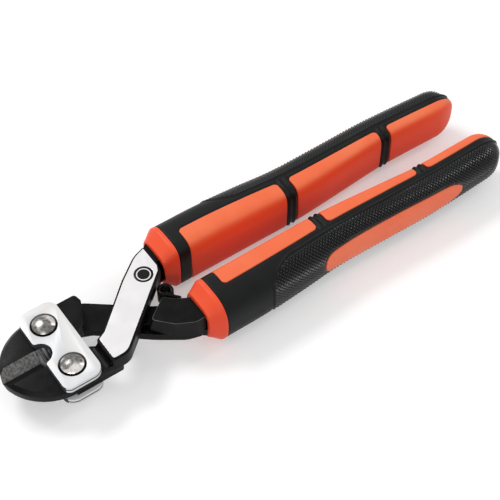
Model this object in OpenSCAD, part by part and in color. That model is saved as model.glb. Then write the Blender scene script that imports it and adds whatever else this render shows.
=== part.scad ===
// Compact compound-action bolt cutters, 9 1/2 in class.
// Two forged jaws turn on rivets between a pair of tie plates. Each jaw ends in
// a long arm; the arms cross, one in the top layer and one in the bottom layer.
// Each handle is pinned to the end of one arm, and the two handle bars meet on
// a hidden pin at the crossing, so the handles work the jaws as toggles.
// The tool is its own copy when turned half a turn about its long axis.
// Working frame: X runs from the rivets to the grips, Z is square to the tool's
// flat mid-plane, and the tool is drawn shut. place() then moves it so that the
// origin is under the middle of the tool, on the surface that it lies on.

/* [Head] */
// Distance between the two jaw rivets
rivet_pitch = 22; // [18:0.5:26]
// Thickness of the jaws between the tie plates
jaw_t = 6.5; // [5:0.25:8]
// Radius of the jaws' rounded front
jaw_nose_r = 22.2; // [20:0.2:26]
// Chamfer round the jaws' front
jaw_chamfer = 1.6; // [0.5:0.1:2.4]
// Width of the ground bevel on each side of a cutting edge
bevel_w = 4.4; // [3:0.1:6]
// Thickness of one tie plate
plate_t = 3; // [2:0.25:4]
// Width of a tie plate along the tool
plate_w = 17; // [15:0.25:17.5]
// Length of a tie plate across the tool
plate_l = 40.6; // [36:0.2:44]
// Radius of the notch in a tie plate's front edge
notch_r = 4.8; // [3:0.1:5.5]
// Diameter of a jaw rivet's shank
rivet_d = 8; // [6:0.25:9]
// Diameter of a jaw rivet's head
rivet_head_d = 9.9; // [9.5:0.1:12]
// Height of a jaw rivet's dome
dome_h = 1.8; // [1:0.1:3]

/* [Arms] */
// Thickness of an arm where it crosses the other one
arm_t = 3.8; // [3:0.1:4.2]
// Radius of the eye at an arm's end
arm_eye_r = 6.2; // [5:0.1:6.6]
// Thickness of an arm's cover strip
cover_t = 0.8; // [0.5:0.1:1.2]
// Margin of bare arm round a cover strip
cover_margin = 0.9; // [0.4:0.1:1.6]
// Diameter of the round badge in a cover strip
badge_d = 8; // [5:0.25:9]
// Diameter of the pin between an arm and its handle
arm_pin_d = 5; // [4:0.25:6]
// Diameter of the pin where the two handle bars meet
centre_pin_d = 4.4; // [3:0.2:5]

/* [Spring] */
// Mean radius of the spring's coil
coil_r = 2.6; // [2.2:0.1:3]
// Diameter of the spring's wire
wire_d = 1.6; // [1:0.1:1.8]
// Number of turns in the coil
coil_turns = 6; // [4:1:7]

/* [Handles] */
// Distance from the rivets to the end of the grips
handle_end = 211; // [205:1:245]
// Half width of a grip at its front
grip_half_w = 11.1; // [10:0.1:12]
// Half height of a grip at its front
grip_half_h = 12.7; // [12:0.1:16]
// Distance of a grip's middle line from the tool's middle line
grip_offset = 16.4; // [15.6:0.1:20]
// How far the grips draw in towards each other at the waist
waist_in = 1.7; // [0:0.1:2]
// Corner radius of a grip's cross-section, as a part of its half width
corner_part = 0.85; // [0.6:0.01:0.9]
// Thickness of the coloured skins let into a grip
skin_t = 1.8; // [1:0.1:2.4]
// Width of the black bands between the inner panels
band_w = 5.6; // [3:0.2:8]
// Length of the collar at a grip's mouth
collar_l = 7.5; // [6:0.5:9]
// Width of the bar inside a grip
bar_w = 10; // [7:0.5:11]
// Thickness of the bar inside a grip
bar_t = 8; // [5:0.5:10]

/* [Clearances] */
// Radial running fit of a pin or rivet in its bore
running_fit = 0.05; // [0.02:0.01:0.1]
// Gap between two layers that slide over each other
layer_gap = 0.2; // [0.1:0.05:0.4]
// Radial slack of the centre pin in the upper handle's bar
centre_slack = 0.7; // [0.6:0.05:1]
// Gap round an arm's end inside its grip
pocket_gap = 0.8; // [0.4:0.1:1.2]

/* [Hidden] */
$fn = 64;

ORANGE = [0.93, 0.36, 0.2];
RUBBER = [0.15, 0.16, 0.16];
FORGED = [0.19, 0.18, 0.18];
ZINC = [0.86, 0.89, 0.91];
STEEL = [0.72, 0.71, 0.69];
BIG = 400;                          // larger than the tool, for cutting away
EPS = 0.01;                         // overlap that joins two solids into one

half_jaw = jaw_t / 2;
half_stack = half_jaw + plate_t;    // half thickness of the closed head
arm_low = half_stack - arm_t;       // underside of the top arm at the crossing
bar_high = arm_low - layer_gap;     // top of the bar that runs under the top arm
rivet_y = rivet_pitch / 2;
nose_x = -3;                        // centre of the jaws' rounded front
nose_y = 3.4;
tip_x = nose_x - sqrt(pow(jaw_nose_r, 2) - pow(nose_y, 2));
jaw_side = jaw_nose_r - nose_y;     // distance of the jaws' straight sides
head_rise = 0.3;                    // rivet head's straight part above the plate
seat_depth = 0.8;                   // seat round a rivet's head in the plate
seat_gap = 0.45;                    // radial gap round a rivet's head in its seat
pin_floor = 2;                      // metal left below an arm pin
plate_rear = 9;
plate_front = plate_rear - plate_w;
arm_front = 13.2;                   // front edge of the raised arm
arm_pin = [57, 17];                 // arm to handle pin, on the upper side
centre_x = 31;                      // pin where the handle bars meet, tool shut
spring_x = 49.1;
badge_at = [44.8, 9.1];
cover_end = 51.6;
upper_lean = 2;                     // turn of the upper jaw's arm about its pin
mouth_x = 52.5;                     // front of the grips' collars
collar_end = mouth_x + collar_l;
band_x = [114, 167];                // front edge of each black band
panel_x = [66.5, band_x[0] + band_w, band_x[1] + band_w];
panel_end = [band_x[0], band_x[1], handle_end];
strip_half_w = 0.9;                 // half of the black strip between panels and pad
waist_x = band_x[0] + band_w / 2;
swell_x = band_x[1] + band_w / 2;
bar_end = handle_end - 23;
end_cap_l = 12;                     // length of a grip's rounded end
mid_x = (tip_x + handle_end) / 2;

// ---------------------------------------------------------------- helpers

// Moves the working frame to the part's own frame.
module place() {
    translate([-mid_x, 0, grip_half_h]) children();
}

// The same piece on the other side: half a turn about the tool's long axis.
module turned() {
    rotate([180, 0, 0]) children();
}

// A plate of the given outline between two heights.
module slab(z0, z1) {
    translate([0, 0, z0]) linear_extrude(z1 - z0) children();
}

// A pin or bore along Z.
module pin(at, d, z0, z1) {
    translate([at.x, at.y, z0]) cylinder(d = d, h = z1 - z0);
}

// Points of a polygon whose corners [x, y, radius] are rounded.
function rounded(p, steps = 6) = [
    for (i = [0 : len(p) - 1])
        let (a = p[(i + len(p) - 1) % len(p)], b = p[i], c = p[(i + 1) % len(p)],
             u = unit(a, b), v = unit(c, b), half = acos(u * v) / 2,
             m = (u + v) / norm(u + v), centre = xy(b) + m * b[2] / sin(half),
             turn = 90 - half, side = cross(u, v) > 0 ? -1 : 1)
        for (k = [0 : steps])
            b[2] == 0 && k > 0 ? [] : b[2] == 0 ? xy(b)
                : centre + b[2] * spin(-m, side * turn * (2 * k / steps - 1))
];
function xy(p) = [p.x, p.y];
function unit(a, b) = (xy(a) - xy(b)) / norm(xy(a) - xy(b));
function spin(v, a) = [v.x * cos(a) - v.y * sin(a), v.x * sin(a) + v.y * cos(a)];

module rounded_polygon(p) {
    polygon([for (q = rounded(p)) if (len(q) == 2) q]);
}

// ---------------------------------------------------------------- head

module tie_plate_outline() {
    difference() {
        rounded_polygon([
            [plate_front, -plate_l / 2, 3], [plate_rear, -plate_l / 2, 4.5],
            [plate_rear, plate_l / 2, 4.5], [plate_front, plate_l / 2, 5]]);
        translate([plate_front + 0.2, 0]) circle(notch_r);
    }
}

module tie_plate_top() {
    difference() {
        slab(half_jaw, half_stack) tie_plate_outline();
        for (s = [-1, 1]) {
            pin([0, s * rivet_y], rivet_d + 2 * running_fit, half_jaw - EPS, half_stack + EPS);
            pin([0, s * rivet_y], rivet_head_d + 2 * seat_gap, half_stack - seat_depth,
                half_stack + EPS);
        }
    }
}

module top_tie_plate() {
    color(ZINC) tie_plate_top();
}

module bottom_tie_plate() {
    color(ZINC) turned() tie_plate_top();
}

// A domed head on each end of a shank.
module rivet(y) {
    base = half_stack + head_rise;  // where the dome springs from the head
    floor = half_stack - seat_depth;
    r = rivet_head_d / 2;
    sphere_r = (pow(r, 2) + pow(dome_h, 2)) / (2 * dome_h);
    color(STEEL) translate([0, y, 0]) {
        pin([0, 0], rivet_d, -base, base);
        for (s = [0, 1]) mirror([0, 0, s]) {
            pin([0, 0], rivet_head_d, floor, base);
            intersection() {
                translate([0, 0, base + dome_h - sphere_r]) sphere(sphere_r);
                pin([0, 0], rivet_head_d, base - EPS, base + dome_h);
            }
        }
    }
}

module upper_jaw_rivet() {
    rivet(rivet_y);
}

module lower_jaw_rivet() {
    rivet(-rivet_y);
}

// ---------------------------------------------------------------- jaws

// Chamfered disc that gives both jaws their rounded front.
module nose_disc() {
    translate([nose_x, nose_y, 0]) rotate_extrude($fn = 128) polygon([
        [0, -half_jaw], [jaw_nose_r - jaw_chamfer, -half_jaw],
        [jaw_nose_r, jaw_chamfer - half_jaw], [jaw_nose_r, half_jaw - jaw_chamfer],
        [jaw_nose_r - jaw_chamfer, half_jaw], [0, half_jaw]]);
}

// Blade and rivet boss of the lower jaw, with the tail that carries the arm.
// The heel is the inner rear corner, clear of the other jaw as they open.
module jaw_head(heel) {
    tail = [18.8, -15];
    intersection() {
        nose_disc();
        translate([-BIG, -BIG, -BIG / 2]) cube([BIG + nose_x + EPS, BIG, BIG]);
    }
    difference() {
        slab(-half_jaw, half_jaw) rounded_polygon([
            [nose_x, 0, 0], [nose_x, -jaw_side, 0], [18, -jaw_side, 1.4],
            [tail.x, tail.y, 1], [heel.x, heel.y, 2], [-0.2, 0, 0]]);
        for (s = [0, 1]) mirror([0, 0, s])
            translate([nose_x - 1, -jaw_side, half_jaw - jaw_chamfer])
                rotate([45, 0, 0]) translate([0, -BIG, 0]) cube([BIG, BIG, BIG]);
    }
}

// Ground bevels that meet at the cutting edge in the mid-plane.
module blade_bevels() {
    angle = atan(half_jaw / bevel_w);
    for (s = [0, 1]) mirror([0, 0, s])
        translate([tip_x - 1, 0, 0]) rotate([-angle, 0, 0])
            translate([0, -BIG, 0]) cube([nose_x - tip_x + 1, BIG + EPS, BIG]);
}

// Plan of the top arm, drawn smaller by a margin for its cover. The lean turns
// it a little about the arm pin.
module arm_outline(lean, inset = 0) {
    translate(arm_pin) rotate(-lean) translate(-arm_pin) rounded_polygon([
        [arm_front + inset, inset - jaw_side - 0.4, 1],
        [20.6 - inset * 0.3, inset - jaw_side - 0.4, 7],
        [51.5 - inset * 1.1, 7 + inset * 0.6, 1.2],
        [52.6, 12, 0],
        [55.2, 19, 2],
        [52.5 - inset * 0.2, 21.4 - inset * 1.1, 2],
        [46.3 + inset * 0.46, 19.4 - inset * 0.9, 14],
        [36 + inset * 0.67, 11.7 - inset * 0.75, 40],
        [17.4 + inset * 0.2, -5 - inset, 1.5],
        [arm_front + inset, -7 - inset * 0.6, 1]]);
}

// The arm in the top layer. A deep elbow is thick where the arm leaves the jaw.
module top_arm(lean, deep_elbow) {
    elbow_edge = -10;               // the elbow stays clear of the bars' eyes
    fillet_r = half_stack - half_jaw - 0.1;
    slab(arm_low, half_stack) {
        arm_outline(lean);
        translate(arm_pin) circle(arm_eye_r);
    }
    if (deep_elbow) intersection() {
        slab(layer_gap, arm_low + EPS) arm_outline(lean);
        translate([0, elbow_edge - BIG, 0]) cube(BIG);
    }
    difference() {
        translate([arm_front - fillet_r, -jaw_side + 0.6, half_jaw - EPS])
            cube([fillet_r + 1, jaw_side - 8.2, fillet_r]);
        translate([arm_front - fillet_r, 0, half_jaw + fillet_r]) rotate([90, 0, 0])
            cylinder(r = fillet_r, h = BIG, center = true);
    }
}

module jaw_with_top_arm(heel, lean, deep_elbow) {
    color(FORGED) difference() {
        union() {
            jaw_head(heel);
            top_arm(lean, deep_elbow);
        }
        blade_bevels();
        pin([0, -rivet_y], rivet_d + 2 * running_fit, -half_jaw - EPS, half_jaw + EPS);
        pin(arm_pin, arm_pin_d + 2 * running_fit, arm_low - EPS, half_stack + EPS);
    }
}

module lower_jaw() {
    jaw_with_top_arm([12.4, -7.2], 0, true);
}

module upper_jaw() {
    turned() jaw_with_top_arm([13.4, -3.9], upper_lean, false);
}

// ---------------------------------------------------------------- cover strips

module cover_strip(lean) {
    sink = cover_t / 2;             // the badge lies in a shallow round seat
    color(ZINC) difference() {
        slab(half_stack, half_stack + cover_t) intersection() {
            arm_outline(lean, cover_margin);
            translate([0, -BIG / 2]) square([cover_end, BIG]);
        }
        pin(badge_at, badge_d, half_stack + cover_t - sink, half_stack + cover_t + EPS);
    }
}

module badge() {
    sink = cover_t / 2;
    color(RUBBER) pin(badge_at, badge_d, half_stack + cover_t - sink, half_stack + cover_t);
}

module top_cover() {
    cover_strip(0);
}

module bottom_cover() {
    turned() cover_strip(upper_lean);
}

module top_badge() {
    badge();
}

module bottom_badge() {
    turned() badge();
}

// ---------------------------------------------------------------- handle bars

// Distance of the grip's middle line from the tool's middle line: straight runs
// between these stations.
STATIONS = [mouth_x, waist_x, swell_x, handle_end];
LINE_Y = [grip_offset + 0.8, grip_offset - waist_in, grip_offset, grip_offset - 0.5];
function grip_y(x) = lookup(x, [for (i = [0 : len(STATIONS) - 1]) [STATIONS[i], LINE_Y[i]]]);

// Stations that lie between two positions, with the positions themselves.
function stations(x0, x1) = concat([x0], [for (x = STATIONS) if (x > x0 && x < x1) x], [x1]);

// Plan polygon beside the middle line, from one offset to another.
module beside_line(x0, x1, low, high) {
    xs = stations(x0, x1);
    polygon(concat([for (x = xs) [x, grip_y(x) + low]],
        [for (i = [len(xs) - 1 : -1 : 0]) [xs[i], grip_y(xs[i]) + high]]));
}

// Thick part of the upper handle's bar, from its shoulder into the collar.
module bar_shoulder_outline() {
    rounded_polygon([
        [44.9, 4.1, 1], [49, 7.6, 8], [53.5, 10.3, 4], [collar_end + 2, grip_y(60) - bar_w / 2, 0],
        [collar_end + 2, grip_y(60) + bar_w / 2, 0], [50, 20.6, 6], [43.2, 17, 4], [36.9, 11.8, 1]]);
}

// Thin part that runs under the arm to the centre pin.
module bar_reach_outline() {
    eye_r = 5;
    along = arm_pin - [centre_x, 0];
    translate([centre_x, 0]) {
        circle(eye_r);
        rotate(atan2(along.y, along.x)) translate([0, -eye_r + 0.5])
            square([14, 2 * eye_r - 1]);
    }
}

// Bar inside the grip, following its middle line.
module bar_tail_outline() {
    beside_line(collar_end + 1, bar_end, -bar_w / 2, bar_w / 2);
}

module bar(eye_bore) {
    color(FORGED) difference() {
        union() {
            slab(-half_stack, bar_high) bar_shoulder_outline();
            slab(layer_gap / 2, bar_high) bar_reach_outline();
            slab(-bar_t / 2, bar_t / 2) bar_tail_outline();
        }
        pin(arm_pin, arm_pin_d + 2 * running_fit, -half_stack + pin_floor, half_stack);
        pin([centre_x, 0], eye_bore, -half_stack, half_stack);
        pocket();
    }
}

module upper_handle_bar() {
    bar(centre_pin_d + 2 * centre_slack);
}

module lower_handle_bar() {
    turned() bar(centre_pin_d + 2 * running_fit);
}

module pin_in_arm() {
    color(STEEL) pin(arm_pin, arm_pin_d, -half_stack + pin_floor, half_stack);
}

module upper_arm_pin() {
    pin_in_arm();
}

module lower_arm_pin() {
    turned() pin_in_arm();
}

module centre_pin() {
    color(STEEL) pin([centre_x, 0], centre_pin_d, -bar_high, bar_high);
}

// ---------------------------------------------------------------- spring

module torsion_spring() {
    pitch = wire_d * 0.96;          // the turns touch and so are one solid
    low = -pitch * (coil_turns - 1) / 2;
    leg_l = 7.5;
    leg_turn = 50;                  // each leg leans on the edge of a handle's bar
    color(FORGED) translate([spring_x, 0, 0]) {
        rotate_extrude() for (i = [0 : coil_turns - 1])
            translate([coil_r, low + i * pitch]) circle(d = wire_d, $fn = 24);
        for (s = [0, 1]) rotate([180 * s, 0, 0])
            rotate(-leg_turn) translate([0, -coil_r, -low]) rotate([0, 90, 0])
                cylinder(d = wire_d, h = leg_l, $fn = 24);
    }
}

// ---------------------------------------------------------------- grips

// Size of the grip along its length, as a part of its size at the front. It
// steps down within the black bands.
TAPER = [[mouth_x, 1], [85, 1], [waist_x - 0.4, 0.93], [waist_x + 0.4, 0.9],
    [swell_x - 0.4, 0.86], [swell_x + 0.4, 0.81], [handle_end - end_cap_l, 0.76]];
RUN_SIZE = [1, 0.9, 0.81];          // size of each straight run

// Outline of the grip seen from above or from the side, with a rounded end.
module grip_outline(half, line, inset) {
    cap = TAPER[len(TAPER) - 1];
    sides = [for (t = TAPER) [t.x, line(t.x), half * t.y - inset]];
    polygon(concat([for (p = sides) [p.x, p.y - p.z]],
        [for (a = [-75 : 15 : 75]) [cap.x + (end_cap_l - inset) * cos(a),
            line(cap.x) + (half * cap.y - inset) * sin(a)]],
        [for (i = [len(sides) - 1 : -1 : 0]) [sides[i].x, sides[i].y + sides[i].z]]));
}

// One straight run of the grip's rounded cross-section.
module section_run(x0, x1, size, inset) {
    w = size.x - inset;
    h = size.y - inset;
    r = size.x * corner_part - inset;
    from = [x0, grip_y(x0)];
    to = [x1, grip_y(x1)];
    over = 2;                       // so that neighbours meet where the line bends
    intersection() {
        translate(from) rotate([90, 0, 90 + atan2(to.y - from.y, to.x - from.x)])
            slab(-over, norm(to - from) + over) {
                square([2 * (w - r), 2 * h], center = true);
                square([2 * w, 2 * (h - r)], center = true);
                for (sx = [-1, 1], sy = [-1, 1]) translate([sx * (w - r), sy * (h - r)]) circle(r);
            }
        translate([x0, -BIG / 2, -BIG / 2]) cube([x1 - x0, BIG, BIG]);
    }
}

// The grip's outer shape, or the same shape drawn in by inset.
module grip_solid(inset = 0) {
    ball_r = 12;
    intersection() {
        slab(-BIG / 2, BIG / 2) grip_outline(grip_half_w, function (x) grip_y(x), inset);
        rotate([90, 0, 0]) slab(-BIG / 2, BIG / 2)
            grip_outline(grip_half_h, function (x) 0, inset);
        union() for (i = [0 : 2])
            section_run(STATIONS[i], STATIONS[i + 1],
                RUN_SIZE[i] * [grip_half_w, grip_half_h], inset);
        union() {
            translate([handle_end - ball_r, grip_y(handle_end), 0]) sphere(ball_r - inset);
            translate([-BIG + handle_end - ball_r, -BIG / 2, -BIG / 2]) cube(BIG);
        }
    }
}

// The outer skin of the grip, cut out where the shape given lies.
module skin_piece() {
    intersection() {
        difference() {
            grip_solid();
            grip_solid(skin_t);
        }
        children();
    }
}

// Room for the arm's end, which turns about its pin inside the grip.
module pocket() {
    gap_r = arm_eye_r + pocket_gap;
    slab(bar_high, half_stack + pocket_gap) {
        translate(arm_pin) circle(gap_r);
        translate([mouth_x - 4, arm_pin.y - gap_r * 0.8]) square([6, gap_r * 1.6]);
    }
}

module bar_room() {
    slab(-half_stack, bar_high) bar_shoulder_outline();
    slab(-bar_t / 2, bar_t / 2) bar_tail_outline();
}

// Draws the front of the collar in, all round.
module mouth_taper() {
    rim_w = 7.7;                    // half width and half height of the mouth's rim
    rim_h = 8.4;
    ridge = 4.2;                    // distance from the rim to the widest place
    y = grip_y(mouth_x);
    w = grip_half_w;
    h = grip_half_h;
    end = collar_end + 1;
    corner = rim_w * 1.28;
    intersection() {
        slab(-BIG / 2, BIG / 2) polygon([
            [mouth_x, y - rim_w], [mouth_x + ridge, y - w], [end, y - w],
            [end, y + w], [mouth_x + ridge, y + w], [mouth_x, y + rim_w]]);
        rotate([90, 0, 0]) slab(-BIG / 2, BIG / 2) polygon([
            [mouth_x, -rim_h], [mouth_x + ridge, -h], [end, -h],
            [end, h], [mouth_x + ridge, h], [mouth_x, rim_h]]);
        translate([mouth_x, y, 0]) rotate([0, 90, 0])
            cylinder(r1 = corner, r2 = corner + end - mouth_x, h = end - mouth_x);
    }
}

// Chamfered ring at the mouth of the grip.
module collar() {
    color(ORANGE) difference() {
        intersection() {
            grip_solid();
            translate([mouth_x, -BIG / 2, -BIG / 2]) cube([collar_l, BIG, BIG]);
            mouth_taper();
        }
        bar_room();
        pocket();
    }
}

// Region of an inner panel: the half of the grip that faces the other grip.
module panel_region(i) {
    slab(-BIG / 2, BIG / 2) beside_line(panel_x[i], panel_end[i], -BIG / 10, -strip_half_w);
}

module inner_panel(i) {
    color(ORANGE) skin_piece() panel_region(i);
}

// Region of the textured pad: a slanted front, then the whole outer half.
module pad_region() {
    slab(-BIG / 2, BIG / 2) {
        beside_line(97, handle_end, strip_half_w, BIG / 10);
        polygon([[78, BIG / 10], [78, grip_offset + 15], [81, grip_offset + 9],
            [85, grip_offset + 5], [90, grip_offset + 2.4], [97, grip_y(97) + strip_half_w],
            [98, BIG / 10]]);
    }
}

// Rounded strip let into the outer side of the grip.
module stripe_region() {
    r = 4.6;
    x0 = 108;
    x1 = 182;
    translate([0, BIG, 0]) rotate([90, 0, 0]) slab(0, BIG - grip_offset) {
        for (x = [x0 + r, x1 - r]) translate([x, 0]) circle(r);
        translate([x0 + r, -r]) square([x1 - x0 - 2 * r, 2 * r]);
    }
}

module textured_pad() {
    color(RUBBER) difference() {
        skin_piece() pad_region();
        stripe_region();
    }
}

module side_stripe() {
    color(ORANGE) skin_piece() stripe_region();
}

module grip_body() {
    color(RUBBER) difference() {
        intersection() {
            grip_solid();
            translate([collar_end, -BIG / 2, -BIG / 2]) cube(BIG);
        }
        skin_piece() {
            for (i = [0 : 2]) panel_region(i);
            pad_region();
            stripe_region();
        }
        bar_room();
        pocket();
    }
}

module upper_collar() { collar(); }
module upper_grip_body() { grip_body(); }
module upper_textured_pad() { textured_pad(); }
module upper_side_stripe() { side_stripe(); }
module upper_inner_panel_front() { inner_panel(0); }
module upper_inner_panel_middle() { inner_panel(1); }
module upper_inner_panel_rear() { inner_panel(2); }
module lower_collar() { turned() collar(); }
module lower_grip_body() { turned() grip_body(); }
module lower_textured_pad() { turned() textured_pad(); }
module lower_side_stripe() { turned() side_stripe(); }
module lower_inner_panel_front() { turned() inner_panel(0); }
module lower_inner_panel_middle() { turned() inner_panel(1); }
module lower_inner_panel_rear() { turned() inner_panel(2); }

place() top_tie_plate();
place() bottom_tie_plate();
place() upper_jaw_rivet();
place() lower_jaw_rivet();
place() torsion_spring();
place() upper_jaw();
place() lower_jaw();
place() top_cover();
place() bottom_cover();
place() top_badge();
place() bottom_badge();
place() upper_handle_bar();
place() lower_handle_bar();
place() upper_arm_pin();
place() lower_arm_pin();
place() centre_pin();
place() upper_collar();
place() upper_grip_body();
place() upper_textured_pad();
place() upper_side_stripe();
place() upper_inner_panel_front();
place() upper_inner_panel_middle();
place() upper_inner_panel_rear();
place() lower_collar();
place() lower_grip_body();
place() lower_textured_pad();
place() lower_side_stripe();
place() lower_inner_panel_front();
place() lower_inner_panel_middle();
place() lower_inner_panel_rear();
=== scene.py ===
"""Looks of a pair of compact bolt cutters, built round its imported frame.

Sizes are millimetres in the tool's own frame: X runs from the jaw rivets to the
grips, Y runs across the tool towards the upper handle, and Z is square to the
tool's flat mid-plane. ToolSpace turns them into the frame's metres. The tool is
its own copy when it is turned half a turn about X, so each handle piece is
built once, for the upper side, and placed twice.
"""

import logging
import math
from dataclasses import dataclass, field
from enum import Enum
from typing import Callable, Optional, Sequence

import bmesh
import bpy
from mathutils import Matrix, Vector


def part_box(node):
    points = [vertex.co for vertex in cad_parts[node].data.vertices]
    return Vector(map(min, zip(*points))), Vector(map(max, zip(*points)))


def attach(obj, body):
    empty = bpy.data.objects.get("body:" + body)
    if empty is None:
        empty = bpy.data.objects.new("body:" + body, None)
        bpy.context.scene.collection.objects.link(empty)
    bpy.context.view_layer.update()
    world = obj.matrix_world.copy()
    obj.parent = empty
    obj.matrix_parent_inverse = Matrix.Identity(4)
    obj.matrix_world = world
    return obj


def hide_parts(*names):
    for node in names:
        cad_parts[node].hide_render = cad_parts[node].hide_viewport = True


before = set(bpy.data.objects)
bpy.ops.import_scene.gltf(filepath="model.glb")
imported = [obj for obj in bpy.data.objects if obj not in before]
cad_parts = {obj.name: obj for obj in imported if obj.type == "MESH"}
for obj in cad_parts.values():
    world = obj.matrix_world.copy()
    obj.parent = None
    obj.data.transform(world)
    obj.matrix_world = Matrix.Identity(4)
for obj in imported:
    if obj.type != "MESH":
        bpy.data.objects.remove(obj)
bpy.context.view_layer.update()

LOG = logging.getLogger("bolt_cutters")
MM = 0.001

Table = Sequence[tuple[float, float]]
Colour = tuple[float, float, float]


# ---------------------------------------------------------------- numbers


def smooth_step(low: float, high: float, value: float) -> float:
    """Returns 0 below low, 1 above high, and a smooth rise between them."""
    t = min(max((value - low) / (high - low), 0.0), 1.0)
    return t * t * (3 - 2 * t)


def along(table: Table, x: float) -> float:
    """Reads a smooth curve drawn through the points of a table.

    Args:
        table: Points (position, value) in rising order.
        x: The position to read at; outside the table the end value holds.

    Returns:
        The curve's value there.
    """
    if x <= table[0][0]:
        return table[0][1]
    if x >= table[-1][0]:
        return table[-1][1]
    i = max(k for k in range(len(table) - 1) if table[k][0] <= x)

    def slope(k: int) -> float:
        """Slope of the curve at point k."""
        a = table[max(k - 1, 0)]
        b = table[min(k + 1, len(table) - 1)]
        return (b[1] - a[1]) / (b[0] - a[0])

    (x0, y0), (x1, y1) = table[i], table[i + 1]
    h = x1 - x0
    t = (x - x0) / h
    return (
        (2 * t**3 - 3 * t**2 + 1) * y0
        + (t**3 - 2 * t**2 + t) * h * slope(i)
        + (3 * t**2 - 2 * t**3) * y1
        + (t**3 - t**2) * h * slope(i + 1)
    )


def linear(red: int, green: int, blue: int) -> Colour:
    """Turns a screen colour from 0 to 255 into the linear one that shaders take."""

    def one(value: int) -> float:
        """One channel."""
        v = value / 255
        return v / 12.92 if v <= 0.04045 else ((v + 0.055) / 1.055) ** 2.4

    return (one(red), one(green), one(blue))


# ---------------------------------------------------------------- placing


class Side(Enum):
    """The two matching halves of the tool."""

    UPPER = "upper"
    LOWER = "lower"


@dataclass(frozen=True)
class ToolSpace:
    """Where the tool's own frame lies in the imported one."""

    origin: Vector

    @classmethod
    def from_frame(cls) -> "ToolSpace":
        """Finds the point midway between the two jaw rivets."""
        corners = [*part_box("upper_jaw_rivet"), *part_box("lower_jaw_rivet")]
        return cls(sum(corners, Vector()) / 4)

    def matrix(self, side: Side = Side.UPPER) -> Matrix:
        """Gives the matrix from tool millimetres to frame metres.

        Args:
            side: The lower side gets the extra half turn about X.

        Returns:
            The matrix.
        """
        turn = Matrix.Rotation(math.pi, 4, "X") if side is Side.LOWER else Matrix.Identity(4)
        return Matrix.Translation(self.origin) @ Matrix.Scale(MM, 4) @ turn

    def point(self, x: float, y: float, z: float) -> Vector:
        """Gives the place of one point in the frame, in metres."""
        return self.matrix() @ Vector((x, y, z))


# ---------------------------------------------------------------- shader maths


class Signal:
    """A number socket that Python's operators turn into Math nodes."""

    def __init__(self, graph: "Nodes", socket: bpy.types.NodeSocket) -> None:
        """Wraps a socket of a graph."""
        self.graph = graph
        self.socket = socket

    def _math(self, operation: str, *values: object) -> "Signal":
        """Adds one Math node over the values."""
        node = self.graph.node("ShaderNodeMath", dict(enumerate(values)), operation=operation)
        return Signal(self.graph, node.outputs[0])

    def __add__(self, other: object) -> "Signal":
        """Adds."""
        return self._math("ADD", self, other)

    __radd__ = __add__

    def __mul__(self, other: object) -> "Signal":
        """Multiplies."""
        return self._math("MULTIPLY", self, other)

    __rmul__ = __mul__

    def __sub__(self, other: object) -> "Signal":
        """Subtracts."""
        return self._math("SUBTRACT", self, other)

    def __rsub__(self, other: object) -> "Signal":
        """Subtracts from a number."""
        return self._math("SUBTRACT", other, self)

    def step(self, low: float, high: float, start: float = 0.0, stop: float = 1.0) -> "Signal":
        """Maps low..high smoothly to start..stop and holds both ends."""
        node = self.graph.node(
            "ShaderNodeMapRange",
            {"Value": self, "From Min": low, "From Max": high, "To Min": start, "To Max": stop},
            interpolation_type="SMOOTHSTEP",
        )
        return Signal(self.graph, node.outputs[0])


class Nodes:
    """A node tree, filled through one method."""

    def __init__(self, owner: bpy.types.ID) -> None:
        """Empties the tree of a material or a world."""
        owner.use_nodes = True
        self.tree = owner.node_tree
        self.tree.nodes.clear()

    def node(self, kind: str, inputs: Optional[dict] = None, **settings: object) -> bpy.types.Node:
        """Adds one node.

        Args:
            kind: The node's type.
            inputs: What goes into its sockets, by name or number.
            **settings: The node's own options, set before its sockets.

        Returns:
            The new node.
        """
        node = self.tree.nodes.new(kind)
        for key, value in settings.items():
            setattr(node, key, value)
        for key, value in (inputs or {}).items():
            socket = value.socket if isinstance(value, Signal) else value
            if isinstance(socket, bpy.types.NodeSocket):
                self.tree.links.new(socket, node.inputs[key])
            else:
                node.inputs[key].default_value = socket
        return node

    def seen(self) -> Signal:
        """Gives 1 to a ray that shows the set, straight or by gloss or glass, and 0 to light."""
        rays = self.node("ShaderNodeLightPath").outputs
        names = ("Is Camera Ray", "Is Glossy Ray", "Is Transmission Ray")
        camera, glossy, transmission = (Signal(self, rays[name]) for name in names)
        return (camera + glossy + transmission).step(0.0, 1.0)


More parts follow.
